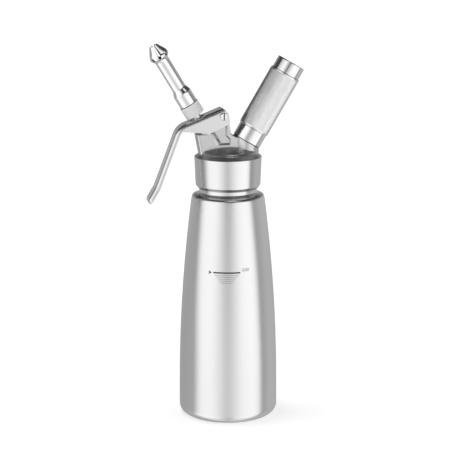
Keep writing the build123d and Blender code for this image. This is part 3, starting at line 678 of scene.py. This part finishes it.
def make_knurled_sleeve():
    """Sleeve with a real diamond knurl between two plain edges; it stands for the CAD sleeve."""
    low, high, radius = span("knurled_sleeve", holder_point, holder_axis)
    bore = min(
        (vertex.co - holder_point - holder_axis * (vertex.co - holder_point).dot(holder_axis)).length
        for vertex in frame["nodes"]["knurled_sleeve"].data.vertices
    )
    root = radius - knurl_depth
    place = seat(holder_point, holder_axis, 0)
    profile = (
        (bore, low),
        (radius - sleeve_edge, low),
        (radius, low + sleeve_edge),
        (radius, low + knurl_margin - knurl_depth),
        (root, low + knurl_margin),
        (root, high - knurl_margin),
        (radius, high - knurl_margin + knurl_depth),
        (radius, high - sleeve_edge),
        (radius - sleeve_edge, high),
        (bore, high),
    )
    tube = ring_mesh("knurl_tube", knurl_steel, place, profile)
    rows = int((high - low - 2 * knurl_margin) / knurl_row) - 1
    start = (low + high - (rows - 1) * knurl_row) / 2
    knurl = diamond_knurl.make(
        "sleeve_knurl",
        seat(holder_point, holder_axis, start),
        Around=knurls_around,
        Rows=rows,
        Radius=root,
        Row=knurl_row,
        Depth=knurl_depth,
        Half_width=pi * root / knurls_around,
        Flat=knurl_flat,
        Material=knurl_steel,
    )
    for piece in (tube, knurl):
        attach(piece, "holder")
    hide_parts("knurled_sleeve")


def make_spring():
    """Round-wire coil on the valve's axis; it stands for the CAD coil."""
    low, high, radius = span("valve_spring", valve_point, valve_axis)
    piece = wound_rod.make(
        "valve_coil",
        seat(valve_point, valve_axis, low + spring_wire),
        Turns=spring_turns,
        Radius=radius - spring_wire,
        Rise=high - low - 2 * spring_wire,
        Steps=spring_steps,
        Half_depth=spring_wire,
        Half_height=spring_wire,
        Sides=spring_sides,
        Material=wire_steel,
    )
    smooth(outward(piece))
    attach(piece, "head")
    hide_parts("valve_spring")
    foot = valve_point + valve_axis * low
    keep = 1 - press_travel / (high - low)
    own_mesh(piece)


def make_threads():
    """Three screw threads, each as an outside and an inside ridge half a pitch apart."""
    pairs = (
        ("neck", "skirt", ("bottle", "turned_steel", turned_steel), ("head", "cast_steel", cast_steel),
         ORIGIN, UP, neck_thread_span, neck_core, neck_thread_pitch, neck_thread_depth),
        ("stub", "holder", ("head", "cast_steel", cast_steel), ("holder", "polished_steel", holder_steel),
         holder_point, holder_axis, stub_thread_span, stub_core, stub_thread_pitch, fine_thread_depth),
        ("adapter", "nozzle", ("valve", "adapter_alloy", blasted_alloy),
         ("nozzle", "polished_steel", nozzle_steel),
         valve_point, valve_axis, adapter_thread_span, adapter_core, adapter_thread_pitch, fine_thread_depth),
    )
    for outside, inside, carrier, mate, point, axis, ends, core, pitch, depth in pairs:
        thread(f"{outside}_thread", *carrier, point, axis, *ends, core, pitch, depth)
        thread(f"{inside}_thread", *mate, point, axis, *ends, core + thread_room, pitch, depth, phase=180.0)


def bottle_surface():
    """Finder of the point and outward normal on the bottle at a height and an angle from the front."""
    body = frame["nodes"]["bottle_body"].data
    tree = BVHTree.FromPolygons([v.co for v in body.vertices], [tuple(p.vertices) for p in body.polygons])

    def find(height, angle):
        out = Vector((sin(radians(angle)), -cos(radians(angle)), 0))
        hit, normal, _, _ = tree.ray_cast(out * 0.2 + UP * height, -out)
        return hit, normal if normal.dot(out) > 0 else -normal

    return find


on_bottle = bottle_surface()


def patch(name, outline_rows, material):
    """Thin raised patch on the bottle from rows of (height, angle) points."""
    outer, inner, width = [], [], len(outline_rows[0])
    for row in outline_rows:
        for height, angle in row:
            hit, normal = on_bottle(height, angle)
            outer.append(hit + normal * mark_relief)
            inner.append(hit - normal * mark_relief)
    count, faces = len(outer), []
    last_row = len(outline_rows) - 1
    for row in range(last_row):
        for column in range(width - 1):
            a = row * width + column
            quad = (a, a + 1, a + width + 1, a + width)
            faces.append(quad)
            faces.append(tuple(count + corner for corner in reversed(quad)))
    rim = [*range(width), *(row * width + width - 1 for row in range(1, last_row + 1))]
    rim += [last_row * width + column for column in range(width - 2, -1, -1)]
    rim += [row * width for row in range(last_row - 1, 0, -1)]
    for corner, other in zip(rim, rim[1:] + rim[:1]):
        faces.append((corner, other, count + other, count + corner))
    mesh = bpy.data.meshes.new(name)
    mesh.from_pydata(outer + inner, [], faces)
    mesh.materials.append(material)
    piece = bpy.data.objects.new(name, mesh)
    bpy.context.scene.collection.objects.link(piece)
    outward(piece)
    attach(piece, "bottle")


def make_fill_mark():
    """Thick fill line, a short scale below it, a plain figure and a small pointer."""
    radius = (on_bottle(fill_height, mark_middle)[0] - UP * fill_height).length
    degrees = 180 / pi / radius

    def bar(name, height, width, thick, finish):
        half = width / 2 * degrees
        columns = [mark_middle - half + 2 * half * step / bar_steps for step in range(bar_steps + 1)]
        patch(name, [[(height + side * thick / 2, angle) for angle in columns] for side in (-1, 1)], finish)

    bar("fill_line", fill_height, mark_width, mark_thick, etched_black)
    for number, (drop, share) in enumerate(zip(scale_drops, scale_shares), 1):
        bar(f"scale_line_{number}", fill_height - drop * MM, mark_width * share, scale_thick, etched_grey)

    curve = bpy.data.curves.new("fill_figure", "FONT")
    curve.body = figure_text
    curve.size = figure_height / capital_share
    curve.extrude = mark_relief
    letters = bpy.data.objects.new("fill_figure_shape", curve)
    bpy.context.scene.collection.objects.link(letters)
    bpy.context.view_layer.update()
    mesh = bpy.data.meshes.new_from_object(letters.evaluated_get(bpy.context.evaluated_depsgraph_get()))
    bpy.data.objects.remove(letters)
    start = mark_middle + (mark_width / 2 + figure_gap) * degrees
    figure_foot = fill_height + figure_rise - figure_height / 2
    for vertex in mesh.vertices:
        hit, normal = on_bottle(figure_foot + vertex.co.y, start + vertex.co.x * degrees)
        vertex.co = hit + normal * vertex.co.z
    mesh.materials.clear()
    mesh.materials.append(etched_grey)
    figure = bpy.data.objects.new("fill_figure", mesh)
    bpy.context.scene.collection.objects.link(figure)
    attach(figure, "bottle")

    tip = mark_middle - (mark_width / 2 + figure_gap * pointer_gap) * degrees
    reach = pointer_length * degrees
    edges = [
        [(fill_height + side * pointer_half * share, tip - reach * share) for share in pointer_ends]
        for side in (-1, 1)
    ]
    patch("fill_pointer", edges, etched_grey)


make_knurled_sleeve()
make_spring()
make_threads()
make_fill_mark()


# ======================================================================
# Studio
# ======================================================================
def round_the_object(angle, reach, height):
    """Point at an angle from the camera's direction, seen from above, positive to the right."""
    turn = radians(angle + camera_turn)
    return Vector((reach * sin(turn), -reach * cos(turn), height))


def staged(name, points, faces, finish):
    """Mesh of the studio, which isn't part of the object."""
    mesh = bpy.data.meshes.new(name)
    mesh.from_pydata(points, [], faces)
    mesh.materials.append(finish.material)
    thing = bpy.data.objects.new(name, mesh)
    bpy.context.scene.collection.objects.link(thing)
    return thing


def row_of_glow(left, right, front_left, front_right, middle, at_left, at_right, behind):
    """Angles and strengths along one row of the wall, from behind on the left to behind on the right."""
    row = [(-180, behind), (left + far_left, (at_left + behind) / 2)]
    row += [(left + step, at_left * share) for step, share in dark_left]
    row += [(left + step, front_left * share) for step, share in bright_left]
    for angle, share, weight in front_glow:
        front = front_left if angle < 0 else front_right
        row.append((angle, front * share * (1 + (middle - 1) * weight)))
    row += [(right + step, front_right * share) for step, share in bright_right]
    row += [(right + step, at_right * share) for step, share in dark_right]
    last_angle, last_glow = row[-1]
    return row + [((last_angle + 180) / 2, (last_glow + behind) / 2), (180, behind)]


def only_mirrored(thing):
    """Hides a thing from everything but mirrored light."""
    thing.visible_camera = thing.visible_diffuse = thing.visible_shadow = thing.visible_transmission = False


def mirrored_wall():
    """Glowing wall, lid and foot round the object, seen in its metal alone."""
    points, glows = [], []
    for height, reach, *row in wall_rows:
        for angle, glow in row_of_glow(*row):
            points.append(round_the_object(angle, reach, height))
            glows.append(glow)
    width = len(points) // len(wall_rows)
    quads = [(row * width, column) for row in range(len(wall_rows) - 1) for column in range(width - 1)]
    faces = [(a + b, a + b + 1, a + b + width + 1, a + b + width) for a, b in quads]
    finish = Finish("mirrored glow", **matt_black, Emission_Strength=1.0)
    finish.vary("Emission Color", finish.node("ShaderNodeAttribute", {"attribute_name": "glow"}, {}, "Fac"))
    wall = staged("mirrored_wall", points, faces, finish)
    wall.data.attributes.new("glow", "FLOAT", "POINT").data.foreach_set("value", glows)
    only_mirrored(wall)


def glow_card(name, place, aim, width, height, strength):
    """Glowing card that faces a point, seen in the object's metal alone."""
    turn = (Vector(aim) - Vector(place)).to_track_quat("-Z", "Y")
    corners = [(x * width / 2, y * height / 2, 0) for x, y in SQUARE]
    points = [Vector(place) + turn @ Vector(corner) for corner in corners]
    finish = Finish(name.replace("_", " "), **matt_black, Emission_Color=(1, 1, 1),
                    Emission_Strength=strength)
    only_mirrored(staged(name, points, [(0, 1, 2, 3)], finish))


def softbox(name, angle, reach, height, size, power):
    """Square soft lamp aimed at the middle of the object, unseen in its metal."""
    lamp = bpy.data.lights.new(name, "AREA")
    lamp.size = size
    lamp.energy = power
    box = bpy.data.objects.new(name, lamp)
    bpy.context.scene.collection.objects.link(box)
    place = round_the_object(angle, reach, height)
    aim = (lamp_aim - place).to_track_quat("-Z", "Y").to_matrix().to_4x4()
    box.matrix_world = Matrix.Translation(place) @ aim
    box.visible_camera = box.visible_glossy = False


mirrored_wall()
glow_card("crown_card", crown_card_place, valve_point + valve_axis * crown_run, *crown_card_size, 1.0)
for lamp_row in lamps:
    softbox(*lamp_row)

floor_finish = Finish("pale floor", Base_Color=(floor_tone,) * 3, Roughness=1.0, Specular_IOR_Level=0.0,
                      Emission_Strength=1.0)
camera_ray = floor_finish.node("ShaderNodeLightPath", {}, {}, "Is Camera Ray")
far_off = floor_finish.vectors("LENGTH", floor_finish.place, output="Value")
lift_range = {"Value": far_off, "From Min": floor_lift_start, "From Max": floor_lift_end,
              "To Min": floor_lift_near, "To Max": floor_lift_far}
floor_lift = floor_finish.node("ShaderNodeMapRange", {}, lift_range)
floor_finish.vary("Emission Color", camera_ray * floor_lift)
corners = [(x * floor_reach, y * floor_reach, 0) for x, y in SQUARE]
floor = staged("floor", corners, [(0, 1, 2, 3)], floor_finish)
floor.visible_glossy = False

world = bpy.data.worlds.new("studio")
bpy.context.scene.world = world
world.use_nodes = True
sky = Shades(world.node_tree)
rays = ("Camera", "Glossy", "Transmission")      # that see the world white, and not dimmed
seen = [sky.node("ShaderNodeLightPath", {}, {}, f"Is {ray} Ray") for ray in rays]
glow = (seen[0] | seen[1] | seen[2]) * (1 - room_light) + room_light
backdrop = sky.node("ShaderNodeBackground", {}, {"Color": (1, 1, 1), "Strength": glow})
sky.node("ShaderNodeOutputWorld", {}, {"Surface": backdrop})

lens = bpy.data.cameras.new("camera")
lens.lens = lens_mm
lens.sensor_width = sensor_mm
lens.shift_x = frame_shift
lens.clip_end = view_reach
camera = bpy.data.objects.new("camera", lens)
bpy.context.scene.collection.objects.link(camera)
camera.location = camera_place
camera.rotation_euler = (radians(camera_tilt), 0, radians(camera_turn))
bpy.context.scene.camera = camera
bpy.context.scene.view_settings.view_transform = "Standard"
